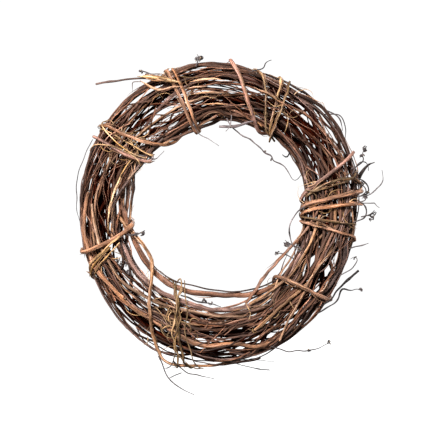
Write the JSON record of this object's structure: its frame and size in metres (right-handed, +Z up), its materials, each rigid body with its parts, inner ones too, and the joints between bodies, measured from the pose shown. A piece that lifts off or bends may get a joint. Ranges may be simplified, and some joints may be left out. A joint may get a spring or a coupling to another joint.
{
  "type": "grapevine wreath frame",
  "caption": "Hanging ring of coiled dried grapevines bound by cross-wound vines, with twig ends and curling tendrils, used as a base for wreath decorations.",
  "frame": {"origin": "the point that bears on a hook or nail: the lowest point of the innermost vine straight above the hole", "axes": "+X right, +Y to the wall behind, +Z up, as the wreath hangs"},
  "size_m": [0.3215, 0.0503, 0.3569],
  "materials": {
    "vine_brown": "dry peeling bark",
    "vine_dark": "dry peeling bark",
    "vine_grey": "dry peeling bark",
    "vine_tan": "dry peeling bark",
    "tie_tan": "dry peeling bark",
    "tie_pink": "dry peeling bark",
    "fine_stem": "dry peeling bark",
    "tendril": "dry peeling bark",
    "twig_black": "dry peeling bark"
  },
  "bodies": {
    "root": {"bottom_inner_vine": "vine_grey", "coiled_vine_01": "vine_brown", "coiled_vine_02": "vine_dark", "coiled_vine_03": "vine_brown", "coiled_vine_04": "vine_grey", "coiled_vine_05": "vine_dark", "coiled_vine_06": "vine_brown", "coiled_vine_07": "vine_tan", "coiled_vine_08": "vine_brown", "coiled_vine_09": "vine_grey", "coiled_vine_10": "vine_dark", "crossing_vine": "vine_tan", "fine_ties_left": "fine_stem", "fine_ties_lower_left": "fine_stem", "fine_ties_right": "fine_stem", "fine_ties_top": "fine_stem", "hanging_vine": "vine_dark", "inner_bridging_vine": "vine_brown", "left_dark_stems": "vine_dark", "left_purple_vine": "vine_grey", "lower_left_slim_vine": "vine_tan", "lower_left_tan_vine": "tie_tan", "lower_right_curved_vine": "vine_tan", "lower_right_cut_vine": "vine_tan", "lower_right_front_vine": "vine_tan", "lower_right_outer_vine": "vine_grey", "pale_stems": "fine_stem", "single_vine_01": "vine_brown", "single_vine_02": "vine_dark", "single_vine_03": "vine_brown", "single_vine_04": "vine_grey", "single_vine_05": "vine_dark", "single_vine_06": "vine_brown", "single_vine_07": "vine_tan", "single_vine_08": "vine_brown", "single_vine_09": "vine_grey", "single_vine_10": "vine_dark", "single_vine_11": "vine_brown", "single_vine_12": "vine_dark", "single_vine_13": "vine_brown", "slack_inner_vine": "vine_brown", "slack_thin_vine": "vine_dark", "spike_right": "twig_black", "tendrils_in_the_hole": "tendril", "tendrils_outside": "tendril", "thin_vines_01": "vine_grey", "thin_vines_02": "vine_dark", "thin_vines_03": "vine_brown", "tie_left": "tie_tan", "tie_lower_right": "tie_tan", "tie_right_lower": "tie_tan", "tie_right_upper": "tie_pink", "tie_top_right": "tie_pink", "tie_upper_left_inner": "tie_tan", "tie_upper_left_outer": "tie_pink", "ties_right_middle": "tie_tan", "ties_top_left": "tie_tan", "top_outer_vines": "vine_dark", "twigs_below": "twig_black", "twigs_top_left": "vine_grey"}
  },
  "joints": []
}
